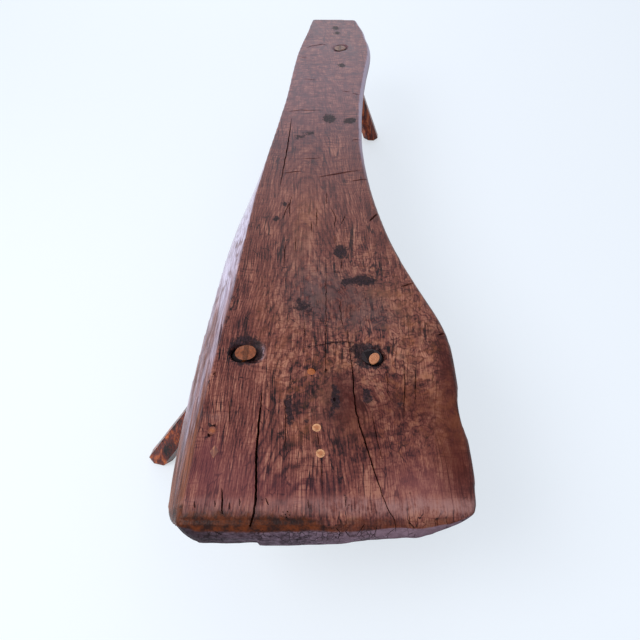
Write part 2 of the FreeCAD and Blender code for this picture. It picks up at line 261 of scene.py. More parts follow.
cracks = (
    # width and depth in millimetres, then the pixels along the crack
    (2.6, 14, (222, 488), (222, 500), (222.4, 514)),
    (1.5, 10, (303, 348), (325, 344), (342, 341.6), (354.5, 343)),
    (4.4, 10, (318.6, 177), (330, 175), (342, 173), (352, 171.2), (360.4, 170.4)),
    (3.8, 8, (283.9, 173), (293, 172), (301, 171.4)),
    (3, 8, (352, 181), (367, 180)),
    (4, 10, (306, 47.5), (314, 45.6), (322.8, 44), (327, 45.6)),
    (3.4, 8, (352.7, 93.4), (360.3, 95)),
    (3.4, 8, (289, 111.4), (300, 110), (310, 110.4), (322.8, 110)),
    (3, 8, (300, 57), (308, 58)),
    (2.8, 8, (304, 79), (316, 80)),
    (3.2, 8, (342, 91), (350, 92)),
    (2.8, 8, (302, 158), (312, 158.6), (322, 157.6)),
    (3, 8, (352, 140.4), (361, 141)),
    (2, 6, (292, 196), (289, 206), (290, 216)),
    (1.8, 6, (327, 193), (326, 204)),
    (1.8, 6, (331, 208), (336, 217), (334, 228)),
    (1.8, 6, (346, 214), (341, 224)),
    (4.4, 14, (377, 214), (372, 218.6), (369.4, 221)),
    (3.6, 12, (414, 283.6), (408, 284.8), (401, 286.6)),
    (3.2, 10, (438, 335), (445, 334.2)),
    (1.5, 6, (304, 320), (304.4, 330), (304, 341)),
    (1.4, 6, (404.4, 366), (405, 390), (404, 418)),
    (1.3, 5, (415, 370), (415.6, 386), (415, 403)),
    (1.4, 5, (432.5, 370), (432.9, 383)),
    (1.3, 5, (386.5, 368), (388, 384), (388, 398)),
    (1.6, 6, (295.7, 236), (295, 252)),
    (1.6, 6, (285.5, 242), (284.4, 254), (284, 266)),
    (2, 6, (289, 202), (286, 210), (283, 218)),
    (1.8, 6, (311.6, 221), (311.4, 232)),
    (1.8, 6, (317, 207), (316.6, 226)),
    (1.6, 6, (334.8, 236), (335, 244)),
    (1.6, 6, (341.6, 260), (342, 269)),
    (1.6, 6, (331, 272), (342, 272.4)),
    (1.3, 5, (317.6, 433), (318.6, 440), (319.4, 447)),
    (1.3, 5, (320.6, 458), (322, 476), (322, 492)),
    (1.6, 6, (229, 400), (229.4, 424)),
    (1.4, 5, (285, 400), (285.6, 424), (285, 452)),
    (2, 7, (194.7, 501), (194.9, 508)),
    (1.8, 7, (215.3, 500), (215.2, 507)),
    (1.8, 7, (239.7, 499), (239.8, 506)),
    (2.2, 7, (266, 498), (268.6, 505)),
    (1.6, 7, (229.4, 502), (229.4, 509)),
    (1.6, 6, (308, 499), (308.4, 508)),
    (1.6, 6, (345, 497), (345.6, 507)),
    (1.4, 6, (372, 410), (376, 436), (383, 462)),
    (1.4, 6, (340, 300), (341, 316), (344, 330)),
    (4.4, 10, (222, 324), (220.4, 333), (218, 345)),
    (1.4, 5, (364.4, 524), (360.7, 530), (355.2, 537)),
    (1.4, 5, (376.5, 526.3), (375.6, 533), (370, 538)),
    (1.6, 6, (396, 527), (391.3, 531), (384, 536.5)),
    (1.4, 5, (408.9, 514), (409.8, 523), (414, 527.6)),
    (1.4, 5, (288, 539), (297, 536.5), (302.6, 539)),
    (1.4, 5, (252, 536), (257, 533.7), (263.7, 530)),
    (1.4, 5, (271, 534), (280, 538), (284, 541)),
    (1.4, 5, (312, 541), (319, 537), (326.7, 533.7)),
    (1.4, 5, (336, 528), (340, 533), (338, 539)),
    (1.4, 5, (349, 527), (346, 532), (350, 537)),
    (1.4, 5, (214, 531), (221, 535), (231, 536)),
)
worm_holes = (
    (283, 512), (285.4, 514.4), (287.6, 511.6), (289.6, 515), (286.2, 517.4), (281, 516),
    (410, 493), (447, 527), (336, 537), (297, 540), (222, 540), (349, 505), (262, 500), (420, 470),
)
worm_radius, worm_depth = 0.0011, 0.012
knot_holes = ((334.4, 399.4, 0.0026, 0.0044), (326, 370, 0.0026, 0.004), (214.7, 373.7, 0.003, 0.005))
knot_depth = 0.006


def cut(cutters):
    """Takes a set of closed shapes out of the slab, and gives what they cut a near-black finish of grime and
    painted shade.
    """
    bmesh.ops.recalc_face_normals(cutters, faces=cutters.faces)
    for face in cutters.faces:
        face.material_index = DIRT_AND_SHADE
    tool = placed("slab_cuts", cutters)
    for owner in (slab_piece.data, tool.data):
        while len(owner.materials) < 2:
            owner.materials.append(None)
    cutting = slab_piece.modifiers.new("cuts", "BOOLEAN")
    cutting.operation, cutting.solver, cutting.material_mode = "DIFFERENCE", "MANIFOLD", "INDEX"
    cutting.object = tool
    settle(slab_piece)
    bpy.data.objects.remove(tool)


def crack(cuts, width, depth, *path, plumb=False):
    """Draws a V along a crack's line, square to the surface or straight down, narrowing to both ends."""
    points = [seen(*pixel) for pixel in path]
    stations = []
    for start, stop in zip(points, points[1:]):
        count = max(1, round((stop - start).length / station_gap))
        stations += [start.lerp(stop, step / count) for step in range(count)]
    stations.append(points[-1])
    for place in stations:
        place.x += crooked * noise.noise(place * crook_scale)
        place.y += crooked * noise.noise(place * crook_scale + crook_shift)
    face, old = None, ()
    last = len(stations) - 1
    for index, place in enumerate(stations):
        along = (stations[min(index + 1, last)] - stations[max(index - 1, 0)]).normalized()
        out = Vector((0, 0, 1)) if plumb else tree.find_nearest(place)[1]
        across = along.cross(out).normalized()
        passed = (index + end_step) / (last + 2 * end_step)
        share = crack_end + (1 - crack_end) * math.sin(math.pi * passed) ** crack_taper
        half = across * width * share * (uneven_least + uneven_range * rolling(place, uneven_scale)) / 2
        lip = half * (1 + cut_lift / depth)
        lift = out * cut_lift
        corners = (place + lip + lift, place - lip + lift, place - out * depth * share)
        if face is None:
            face = cuts.faces.new([cuts.verts.new(corner) for corner in corners])
        else:
            made = bmesh.ops.extrude_face_region(cuts, geom=[face])
            if index > 1:
                bmesh.ops.delete(cuts, geom=[face], context="FACES_ONLY")
            face = next(item for item in made["geom"] if isinstance(item, bmesh.types.BMFace))
            for vert in face.verts:
                nearest = min(range(3), key=lambda corner: (vert.co - old[corner]).length)
                vert.co = corners[nearest]
        old = corners


def islands(mesh):
    """The groups of faces that hang together in a mesh."""
    groups, left = [], set(mesh.faces)
    while left:
        reached = [left.pop()]
        group = list(reached)
        while reached:
            beside = {face for edge in reached.pop().edges for face in edge.link_faces} & left
            left -= beside
            reached += beside
            group += beside
        groups.append(group)
    return groups


# The bores are cut with a little play round what fills them, and open above the seat.
leg_names = ("leg_wide_left", "leg_wide_right", "leg_narrow_end")
plug_names = leg_names + ("peg_middle_far", "peg_middle_near", "peg_broken", "peg_left_far",
                          "patch_left_near")
play, crown_depth, crown_rise = 0.00015, 0.006, 0.003
for name in plug_names:
    bore = merged(name)
    bore.normal_update()
    crown = max(vert.co.z for vert in bore.verts) - crown_depth
    for vert in bore.verts:
        vert.co += vert.normal * play
        if vert.co.z > crown:
            vert.co.z += cut_lift + crown_rise
    cut(bore)

mouth_widths, mouth_depth, mouth_foot = (0.048, 0.054, 0.044), 0.009, 0.018
mouth_rough, mouth_scale, mouth_lift = 0.22, 70, 0.0004
slot_half, slot_lean = (0.0062, 0.0135, 0.004), math.radians(-20)
mouth_cuts = bmesh.new()
for place, width in zip(mouths, mouth_widths):
    middle = place.to_3d() + Vector((0, 0, seat_height - mouth_depth / 2))
    made = bmesh.ops.create_cone(mouth_cuts, cap_ends=True, segments=48, radius1=mouth_foot,
                                 radius2=width / 2, depth=mouth_depth, matrix=Matrix.Translation(middle))
    for vert in made["verts"]:
        if vert.co.z > seat_height - weld:
            away = vert.co.xy - place
            vert.co.xy = place + away * (1 + mouth_rough * noise.noise(vert.co * mouth_scale))
            vert.co.z += mouth_lift
slot_place = middle_of("peg_left_far")
bmesh.ops.create_cone(mouth_cuts, cap_ends=True, segments=32, radius1=1, radius2=1, depth=2,
                      matrix=Matrix.Translation((slot_place.x, slot_place.y, seat_height))
                      @ Matrix.Rotation(slot_lean, 4, "Z") @ Matrix.Diagonal((*slot_half, 1)))
splits = (
    # as for the cracks
    (4.6, 44, (262, 392), (258, 430), (256, 457), (256, 490), (254, 513), (250, 525), (247, 540)),
    (3, 34, (347, 330), (352, 366), (355, 404), (360, 427), (367, 448), (376, 476), (386, 505),
     (394, 520), (396, 532)),
    (1.8, 16, (326, 259), (326, 320), (325, 385)),
    (3.6, 22, (291.5, 119), (288, 144), (283.4, 169), (280.3, 185)),
)
for width, depth, *path in splits:
    crack(mouth_cuts, width / 1000, depth / 1000, *path, plumb=True)
cut(mouth_cuts)

fine_cuts = bmesh.new()
for width, depth, *path in cracks:
    crack(fine_cuts, max(width / 1000 * crack_widening, crack_least), depth / 1000, *path)
for pixel in worm_holes:
    bmesh.ops.create_cone(fine_cuts, cap_ends=True, segments=9, radius1=worm_radius, radius2=worm_radius,
                          depth=2 * worm_depth, matrix=Matrix.Translation(seen(*pixel)))
for across, down, half_width, half_length in knot_holes:
    shape = Matrix.Diagonal((half_width, half_length, knot_depth, 1))
    bmesh.ops.create_icosphere(fine_cuts, subdivisions=2, radius=1,
                               matrix=Matrix.Translation(seen(across, down)) @ shape)
cut(fine_cuts)

# Chips that the cuts set loose fall out, and the lips of the cuts stay crisp.
chip_faces, lip_turn = 1000, math.radians(38)
cut_slab = slab_piece.data
cut_slab.validate()
cut_slab.shade_smooth()
cut_slab.set_sharp_from_angle(angle=lip_turn)
lips = bmesh.new()
lips.from_mesh(cut_slab)
chips = [face for island in islands(lips) if len(island) < chip_faces for face in island]
bmesh.ops.delete(lips, geom=chips, context="FACES")
for edge in lips.edges:
    if len({face.material_index for face in edge.link_faces}) > 1:
        edge.smooth = False
lips.to_mesh(cut_slab)
lips.free()

# Where the slab's colour and figure change, and where light and shade are painted into its colour: shares
# kept on its corners, three under each name.
# A dab is a pixel of the view, how far it spreads across and down in pixels, and how strong it is.
# Which way a corner faces is read from the uncut skin, so the lips of cuts show no border.
near_count = 6
places = np.empty(len(cut_slab.vertices) * 3)
cut_slab.vertices.foreach_get("co", places)
places = places.reshape(-1, 3)
slab.normal_update()
skin_points = KDTree(len(slab.verts))
for index, vert in enumerate(slab.verts):
    skin_points.insert(vert.co, index)
skin_points.balance()
skin_normals = np.array([vert.normal for vert in slab.verts])
beside = np.array([[found[1] for found in skin_points.find_n(place, near_count)] for place in places])
facing = skin_normals[beside].mean(axis=1)
slab.free()

burl_dabs = (
    (400, 350, 52, 60, 1.0), (350, 300, 50, 40, 0.8), (330, 385, 44, 44, 0.9), (420, 330, 36, 46, 0.9),
    (360, 255, 30, 34, 0.5), (285, 380, 26, 34, 0.35), (432, 424, 18, 14, 0.8), (390, 440, 40, 40, 0.45),
    (290, 300, 26, 40, 0.4),
)
grey_dabs = (
    (345, 300, 46, 22, 0.9), (320, 290, 30, 26, 0.6), (340, 400, 22, 26, 0.7), (300, 250, 20, 30, 0.4),
    (370, 320, 30, 14, 0.5), (216, 416, 12, 4, 0.7),
)
purple_dabs = (
    (208, 450, 12, 16, 0.9), (200, 480, 20, 22, 0.9), (240, 470, 30, 34, 0.6), (290, 488, 60, 14, 0.6),
    (420, 486, 40, 18, 0.5), (300, 60, 60, 80, 0.5), (420, 470, 40, 26, 0.3),
)
combed_dabs = ((296, 470, 38, 36, 1.0), (280, 420, 22, 40, 0.5), (300, 340, 14, 60, 0.3))
deep_dabs = (
    (335, 400, 24, 28, 1.4), (330, 300, 40, 22, 0.5), (445, 350, 10, 50, 0.5), (458, 462, 20, 40, 1.0),
    (392, 405, 30, 30, 0.5), (449, 382, 12, 40, 0.5), (300, 400, 16, 30, 0.4), (222, 300, 8, 60, 0.3),
    (366, 440, 20, 40, 0.3), (430, 410, 24, 26, 0.5),
)
stain_dabs = (
    (341, 252, 7.5, 7, 1.5), (366, 280, 11, 5, 1.4), (358, 281, 7, 4, 0.9), (346, 282, 6, 5, 1.1),
    (352, 308, 5, 5, 0.5), (300, 300, 8, 12, 0.45), (322, 330, 8, 8, 0.4), (290, 412, 3.4, 14, 0.7),
    (297, 404, 3, 9, 0.5), (369, 398, 4, 6, 0.7), (329.3, 118.6, 6.5, 4.5, 1.6),
    (349, 121, 6.5, 2.8, 1.4), (352, 119.4, 4, 2, 0.9), (341.6, 65.5, 4, 2.2, 1.4),
    (335.5, 28, 4, 2.0, 1.4), (337, 33, 3.5, 1.6, 1.2), (300, 137, 6, 2.6, 1.0), (310, 133, 6, 2.2, 1.0),
    (277, 218, 4, 4, 0.5), (371, 358, 13.5, 11, 2.2), (357, 349, 7, 5, 1.2), (246, 353.6, 15, 13.6, 2.6),
    (325, 344.5, 16, 2.4, 0.6), (342, 342, 12, 2.4, 0.7), (309, 347, 8, 2.6, 0.6), (285, 205, 5, 9, 0.4),
    (335, 393, 6, 14, 0.6), (326, 370, 4, 4, 0.6), (212, 425, 5, 4, 0.8), (207, 437, 4, 4, 0.7),
    (316, 312, 18, 10, 0.3), (352, 322, 18, 10, 0.3), (340.6, 49, 8, 4, 0.7), (287, 403, 3.6, 12, 1.0),
    (291, 420, 3, 6, 1.0), (306, 421, 4, 4, 0.7), (336, 400, 5, 12, 0.8), (331, 412, 4, 6, 0.7),
    (366, 395, 5, 9, 0.9), (400, 405, 7, 6, 0.8), (283, 436, 5, 8, 0.7), (341, 482, 3.4, 16, 0.6),
    (347, 498, 3, 8, 0.6), (334, 440, 6, 11, 0.4), (284, 204, 5, 2.4, 0.6), (276, 219, 3.4, 2.6, 0.9),
    (303, 205, 8, 1.8, 0.5), (318, 233, 9, 2, 0.4), (304, 307, 12, 6, 0.5), (367, 309, 7, 6, 0.4),
)
gold_dabs = (
    (456, 420, 13, 34, 0.9), (430, 398, 20, 16, 0.6), (440, 445, 16, 20, 0.5), (405, 394, 12, 10, 0.5),
    (374, 293, 14, 6, 0.8), (322, 300, 9, 7, 0.6), (350, 309, 9, 5, 0.7), (299, 240, 10, 26, 0.5),
    (402, 300, 16, 16, 0.7), (328, 396, 14, 14, 0.6), (354, 421, 16, 14, 0.6), (303, 430, 16, 12, 0.5),
    (283, 345, 14, 40, 0.3), (308, 212, 14, 20, 0.7), (420, 350, 20, 30, 0.4), (330, 362, 20, 8, 0.5),
    (262, 310, 10, 40, 0.3),
)
rose_dabs = (
    (415, 489, 34, 17, 0.9), (444, 499, 22, 10, 0.6), (228, 480, 26, 24, 0.5), (300, 500, 120, 6, 0.5),
    (300, 200, 60, 26, 0.4),
)

dab_depth = 0.03
place_x, place_y, place_z = places.T
facing_x, facing_y, facing_z = facing.T
depth_below = seat_height - place_z
from_near = place_y - near_end


def dabbed(dabs):
    """The share of each corner that a set of dabs covers."""
    share = np.zeros(len(places))
    for across, down, wide, tall, strength in dabs:
        middle = seen(across, down)
        spread_x = abs(seen(across + 1, down).x - middle.x) * wide
        spread_y = abs(seen(across, down + 1).y - middle.y) * tall
        share += strength * np.exp(-((place_x - middle.x) / spread_x) ** 2
                                   - ((place_y - middle.y) / spread_y) ** 2)
    return np.clip(share, 0, 1) * (place_z > seat_height - dab_depth)


def eased(values, low, high):
    """Values eased from 0 at a low mark to 1 at a high one."""
    share = np.clip((values - low) / (high - low), 0, 1)
    return share * share * (3 - 2 * share)


def wander(scale, row):
    """Smooth noise that changes across the bench alone."""
    return np.array([noise.noise(Vector((across * scale, 0, row))) for across in place_x])


def shared(name, red, green, blue):
    """Keeps three shares on the slab's corners under one name."""
    layer = cut_slab.attributes.new(name, "FLOAT_COLOR", "POINT")
    rows = np.stack([red, green, blue, np.ones(len(red))], axis=1).astype(np.float32)
    layer.data.foreach_set("color", rows.ravel())


# The near rim has a dark orange-brown band with a ragged foot, which thins out towards the right: painted
# shade on the rounding, over the wood's own orange-brown.
band_least, band_rise, band_foot_left, band_foot_rise, foot_soft = 0.0012, 0.003, 0.040, 0.033, 0.009
ragged_left, ragged_loss, rim_wander = 0.007, 0.004, 0.007
rightward = eased(place_x, -0.12, 0.2)
ragged = (ragged_left - ragged_loss * rightward) * wander(22, 4)
band_top = band_least + band_rise * rightward + ragged
band_foot = band_foot_left - band_foot_rise * rightward + ragged
above_foot = 1 - eased(depth_below, band_foot, band_foot + foot_soft)
inset = from_near + rim_wander * wander(30, 1)
rim_share = eased(depth_below, band_top - 0.003, band_top + 0.006) * above_foot
rim_share *= 1 - eased(from_near, 0.045, 0.06)
turned_over = (1 - eased(inset, 0.014, 0.060)) * (1 - rightward) * above_foot
# Painted highlight: a pale strip along the ridge where the top starts to roll over the near rim.
ridge_share = eased(inset, 0.026, 0.042) * (1 - eased(inset, 0.050, 0.068)) * eased(facing_z, 0.6, 0.85)

end_facing, side_facing = (0.62, 0.9), (0.25, 0.6)
near_face = eased(-facing_y, *end_facing) * (1 - eased(from_near, 0.035, 0.06))
far_face = eased(facing_y, *end_facing) * eased(place_y, far_end - 0.06, far_end - 0.03)
below_band = eased(depth_below, band_foot, band_foot + 0.006) * (1 - eased(from_near, 0.035, 0.05))
end_share = np.maximum.reduce([near_face, far_face, below_band])
wane_share = eased(-facing_x, *side_facing) * eased(depth_below, 0.001, 0.006)
under_share = eased(-facing_z, 0.1, 0.5)
right_share = eased(place_x, 0.02, 0.12)
# Painted highlight: a pale lilac strip on the sloping right edge in the far part of the seat.
painted_glint_share = eased(place_y, -0.1, 0.25) * eased(facing_x, 0.0, 0.3)
painted_glint_share *= eased(facing_z, 0.15, 0.4) * (1 - eased(facing_z, 0.8, 0.96))

shared("figure", dabbed(burl_dabs), dabbed(grey_dabs), dabbed(purple_dabs))
shared("marks", dabbed(stain_dabs), dabbed(combed_dabs), under_share)
shared("faces", end_share, np.maximum(rim_share, turned_over), wane_share)
shared("tints", dabbed(gold_dabs), dabbed(rose_dabs), painted_glint_share)
shared("edges", ridge_share, right_share, dabbed(deep_dabs))


class Reading:
    """A value or colour in a finish's nodes, so that sums and products of it can be written as such."""

    def __init__(self, finish, socket):
        self.finish = finish
        self.socket = socket

    def sum(self, operation, first, second):
        return self.finish.node("ShaderNodeMath", {"operation": operation}, {0: first, 1: second})

    def __add__(self, other):
        return self.sum("ADD", self, other)

    def __sub__(self, other):
        return self.sum("SUBTRACT", self, other)

    def __rsub__(self, other):
        return self.sum("SUBTRACT", other, self)

    def __mul__(self, other):
        return self.sum("MULTIPLY", self, other)

    def __pow__(self, other):
        return self.sum("POWER", self, other)

    __radd__ = __add__
    __rmul__ = __mul__


class Nodework:
    """The nodes of a finish or of the studio's light, each made by one method."""

    def __init__(self, node_tree):
        self.nodes = node_tree.nodes
        self.links = node_tree.links

    def node(self, kind, settings=None, sockets=None, output=0):
        """Makes a node and reads one of its outputs."""
        made = self.nodes.new(kind)
        for name, value in (settings or {}).items():
            if name == "stops":
                for stop, (position, colour) in zip(made.color_ramp.elements, value):
                    stop.position, stop.color = position, colour
                for position, colour in value[2:]:
                    made.color_ramp.elements.new(position).color = colour
            else:
                setattr(made, name, value)
        for name, value in (sockets or {}).items():
            if isinstance(value, Reading):
                self.links.new(value.socket, made.inputs[name])
            else:
                made.inputs[name].default_value = value
        return Reading(self, made.outputs[output])

    def sine(self, value):
        """The wave of a value, from -1 to 1."""
        return self.node("ShaderNodeMath", {"operation": "SINE"}, {0: value})

    def step(self, value, low, high):
        """A value eased from 0 at a low mark to 1 at a high one."""
        return self.node("ShaderNodeMapRange", {"interpolation_type": "SMOOTHSTEP"},
                         {"Value": value, "From Min": low, "From Max": high})

    def blend(self, share, under, over):
        """One colour laid over another by a share."""
        return self.node("ShaderNodeMix", {"data_type": "RGBA"}, {0: share, 6: under, 7: over}, 2)


class Finish(Nodework):
    """A material of one shader, with the nodes that vary it over a piece."""

    def __init__(self, name, **constants):
        self.material = bpy.data.materials.new(name)
        self.material.use_nodes = True
        super().__init__(self.material.node_tree)
        self.shader = self.nodes["Principled BSDF"]
        for socket, value in constants.items():
            self.shader.inputs[socket.replace("_", " ")].default_value = value
        self.place = self.node("ShaderNodeTexCoord", output="Object")

    def feed(self, **readings):
        """Leads readings into the shader."""
        for socket, reading in readings.items():
            self.links.new(reading.socket, self.shader.inputs[socket.replace("_", " ")])

    def cloud(self, scale, detail=3.0, rough=0.55, place=None, output="Fac"):
        """Noise with its own number of patches to the metre on each axis."""
        spread = self.node("ShaderNodeMapping", None, {"Vector": place or self.place, "Scale": scale})
        return self.node("ShaderNodeTexNoise", None,
                         {"Vector": spread, "Scale": 1.0, "Detail": detail, "Roughness": rough}, output)

    def shares(self, name):
        """The three shares kept on the mesh under a name."""
        stored = self.node("ShaderNodeAttribute", {"attribute_name": name}, output="Color")
        return [self.node("ShaderNodeSeparateColor", None, {0: stored}, channel) for channel in range(3)]

    def raise_by(self, height, distance):
        """The surface's normal with a height laid on it."""
        return self.node("ShaderNodeBump", None, {"Height": height, "Strength": 1.0, "Distance": distance})


def colour(red, green, blue):
    """A colour as the eye reads it, 0 to 255, in the shader's own light values."""
    return tuple(((value / 255 + 0.055) / 1.055) ** 2.4 for value in (red, green, blue)) + (1.0,)


def swing(reading, reach):
    """How far a noise swings a value to either side."""
    return (reading - 0.5) * reach


# The slab's finish: old wax over straight grain that swirls in the burl and breaks up at the far end.
wood = Finish("slab_wood", Specular_IOR_Level=0.13, Coat_Roughness=0.2)
burl, grey, purple = wood.shares("figure")
stain, combed, under = wood.shares("marks")
end_grain, rim, wane = wood.shares("faces")
ridge, right, deep = wood.shares("edges")
gold, rose, painted_glint = wood.shares("tints")
across, along = (wood.node("ShaderNodeSeparateXYZ", None, {0: wood.place}, axis) for axis in range(2))
far = wood.step(along, -0.25, 0.55)
calm = right * (1 - wood.step(along, -0.66, -0.45))
straight = (1 - far * 0.6) * (1 - calm * 0.5)

drift = wood.cloud((9, 4, 9), 2, 0.5, output="Color")
drift = wood.node("ShaderNodeVectorMath", {"operation": "SUBTRACT"}, {0: drift, 1: (0.5, 0.5, 0.5)})
drift = wood.node("ShaderNodeVectorMath", {"operation": "SCALE"}, {0: drift, "Scale": 0.020 + burl * 0.045})
flow = wood.node("ShaderNodeVectorMath", {"operation": "ADD"}, {0: wood.place, 1: drift})

streak = wood.cloud((90, 5, 90), 5, 0.62, flow)
fibre = wood.cloud((380, 11, 380), 4, 0.62, flow)
patch = wood.cloud((17, 11, 17), 4, 0.6, flow)
mottle = wood.cloud((58, 44, 58), 5, 0.68, flow)
ripple = wood.cloud((30, 170, 30), 3, 0.6, flow)
speck = wood.cloud((300, 200, 300), 3, 0.62)
pore = wood.step(wood.cloud((700, 60, 700), 2, 0.6, flow), 0.60, 0.70)

flow_across = wood.node("ShaderNodeSeparateXYZ", None, {0: flow}, 0)
comb_gap, comb_stirred = 0.0027, 0.007
comb = wood.sine((flow_across + swing(streak, comb_stirred)) * (2 * math.pi / comb_gap))

heart_line, rings_across, rings_along, rings_stirred = 0.012, 800.0, 22.0, 5.0
off_heart = flow_across - heart_line
growth = off_heart * off_heart * rings_across + along * rings_along
growth = (growth + wood.cloud((14, 5, 14), 3, 0.5) * rings_stirred) * (2 * math.pi)
arches = (0.5 + 0.5 * wood.sine(growth)) ** 3

eyes = wood.node("ShaderNodeTexVoronoi", {"feature": "SMOOTH_F1"},
                 {"Vector": flow, "Scale": 42.0, "Smoothness": 0.55, "Detail": 1.0})
curl = (0.5 + 0.5 * wood.sine(eyes * 17 + patch * 7)) ** 4


def hairlines(scale, width, low, high):
    """Thin wandering lines along the longer way of a stretched noise, in patches."""
    away = wood.node("ShaderNodeMath", {"operation": "ABSOLUTE"}, {0: wood.cloud(scale, 2, 0.5, flow) - 0.5})
    return (1 - wood.step(away, width * 0.3, width)) * wood.step(patch, low, high)


def seams(vector, scale, low, high, detail=0.0):
    """Lines where the cells of a broken surface meet."""
    off_seam = wood.node("ShaderNodeTexVoronoi", {"feature": "DISTANCE_TO_EDGE"},
                         {"Vector": vector, "Scale": scale, "Detail": detail})
    return 1 - wood.step(off_seam, low, high)


checks = hairlines((52, 2.4, 52), 0.020, 0.44, 0.60)
nicks = hairlines((7, 70, 7), 0.028, 0.47, 0.60) * (0.45 + far * 0.55)
shards = wood.node("ShaderNodeMapping", None, {"Vector": flow, "Scale": (75, 26, 75)})
shards = seams(shards, 1.0, 0.012, 0.05) * wood.step(wood.cloud((34, 26, 34), 3, 0.6), 0.52, 0.64)

mean_light = 0.655
light = (swing(streak, 1.0) + swing(fibre, 1.45)) * straight + swing(speck, 0.55)
light += swing(patch, 1.2 + calm * 0.5) + swing(mottle, calm * 1.1 + far * 1.7)
light += swing(ripple, 0.16 + far * 1.1) + comb * (0.04 + combed * 0.06)
light += burl * (0.05 - curl * 0.36 + swing(mottle, 0.4) + (eyes - 0.45) * 0.4)
light -= arches * (0.20 + combed * 0.12 - far * 0.06) + pore * straight * 0.2
light -= checks * 0.62 + nicks * (0.4 + far * 0.3) + shards * 0.36
light += gold * 0.12 + rose * 0.10 + calm * 0.06 - deep * 0.3 + mean_light
tone = wood.node("ShaderNodeValToRGB", {"stops": (
    (0.0, colour(12, 8, 12)), (1.0, colour(170, 115, 93)), (0.25, colour(46, 26, 28)),
    (0.52, colour(99, 51, 45)), (0.76, colour(132, 79, 66)))}, {0: light})

golden = wood.blend(burl * wood.step(mottle, 0.48, 0.7) * 0.42, tone, colour(146, 84, 46))
inky = burl * wood.step(wood.cloud((46, 38, 46), 4, 0.62), 0.54, 0.68)
golden = wood.blend(inky * 0.5, golden, colour(40, 25, 26))
net = burl * seams(flow, 64.0, 0.02, 0.12, detail=1.0) * wood.step(patch, 0.38, 0.6)
golden = wood.blend(net * 0.38, golden, colour(40, 23, 22))
golden = wood.blend(gold * wood.step(mottle, 0.3, 0.6) * 0.5, golden, colour(150, 88, 46))
golden = wood.blend(rose * 0.45, golden, colour(142, 88, 80))
worn = wood.blend(grey * 0.6 * wood.step(mottle, 0.32, 0.6), golden, colour(98, 80, 80))
tinted = wood.blend(purple * 0.45, worn, colour(104, 52, 58))
ruddy = wood.blend(deep * right * 0.8, tinted, colour(72, 22, 13))
# Towards the far end the seat turns grey-brown and then pale lilac; the lilac is partly painted reflection of
# the bright surroundings at a grazing angle.
grey_to_lilac_sheen = wood.blend(far, colour(98, 72, 68), colour(132, 107, 118))
sheened_toward_far = wood.blend(wood.step(along, -0.75, 0.5) * 0.42, ruddy, grey_to_lilac_sheen)

# The waney side is brown at the wide end and grey weathered beyond it, with a painted pale lilac reflection
# over the grey; the near rim has a painted highlight over worn wood on its ridge and a band of painted shade
# in a dark orange-brown.
silvered_and_sheened = wood.step(along + swing(wood.cloud((60, 5, 60), 4, 0.6), 1.1), -0.82, -0.2)
brown = wood.blend(wood.step(streak * 0.5 + fibre * 0.5, 0.38, 0.62), colour(74, 35, 21), colour(136, 80, 54))
# Painted reflection: the pale lilac of the far wane stands partly for bright surroundings mirrored at a
# grazing angle, over grey weathered wood.
silver_and_painted_sheen = wood.blend(wood.step(fibre, 0.35, 0.65), colour(164, 144, 160), colour(226, 216, 236))
bark = wood.blend(silvered_and_sheened, brown, silver_and_painted_sheen)
bark = wood.blend(wood.step(wood.cloud((40, 14, 40), 4, 0.6), 0.56, 0.72) * 0.8, bark, colour(96, 50, 34))
barked = wood.blend(wane * 0.85, sheened_toward_far, bark)
# Painted highlight on the sloping right edge in the far part of the seat.
barked = wood.blend(painted_glint * 0.6, barked, colour(204, 190, 208))
# Painted highlight, over some worn wood, on the near rim's ridge; stronger to the right.
painted_ridge_highlight = ridge * wood.step(mottle + swing(fibre, 0.5), 0.3, 0.62) * (0.36 + right * 0.3)
highlighted_ridge = wood.blend(painted_ridge_highlight, barked, colour(154, 114, 108))
# Painted shade: the near rim's rounding is darkened to orange-brown and near-black, most at its left.
clouded = wood.step(wood.cloud((64, 44, 120), 5, 0.7), 0.36, 0.66)
amber_shade = wood.blend(clouded, colour(32, 11, 6), colour(98, 44, 15))
rim_shade_share = wood.step(rim + swing(mottle, 1.1) + swing(speck, 0.6), 0.2, 0.85) * (0.95 - right * 0.35)
rounded = wood.blend(rim_shade_share, highlighted_ridge, amber_shade)

crackle = seams(flow, 110.0, 0.02, 0.10) * wood.step(wood.cloud((26, 26, 26), 3), 0.42, 0.56) * 0.8
grained = wood.step(wood.cloud((70, 70, 120), 5, 0.68), 0.3, 0.7)
# The end grain's lilac grey is partly painted reflection of the bright floor in front; it is lighter to the
# right and darker to the left.
ends = wood.blend(grained, colour(44, 29, 38), colour(128, 106, 118))
ends = wood.blend((1 - wood.step(across, -0.22, 0.02)) * 0.85, ends, colour(27, 14, 18))
ends = wood.blend(right * 0.5, ends, colour(140, 112, 122))
ends = wood.blend(crackle * 0.85, ends, colour(16, 9, 9))
closed = wood.blend(wood.step(end_grain + swing(mottle, 0.4), 0.3, 0.7) * 0.95, rounded, ends)
blotch = wood.step(stain + swing(wood.cloud((110, 90, 110), 5, 0.72), 2.4), 0.42, 0.85)
ink = wood.blend(wood.step(speck, 0.35, 0.75), colour(9, 5, 9), colour(48, 31, 40))
inked = wood.blend(blotch * 0.9, closed, ink)
# Faces that look down are made darker.
finished = wood.blend(under * 0.6, inked, colour(58, 34, 24))

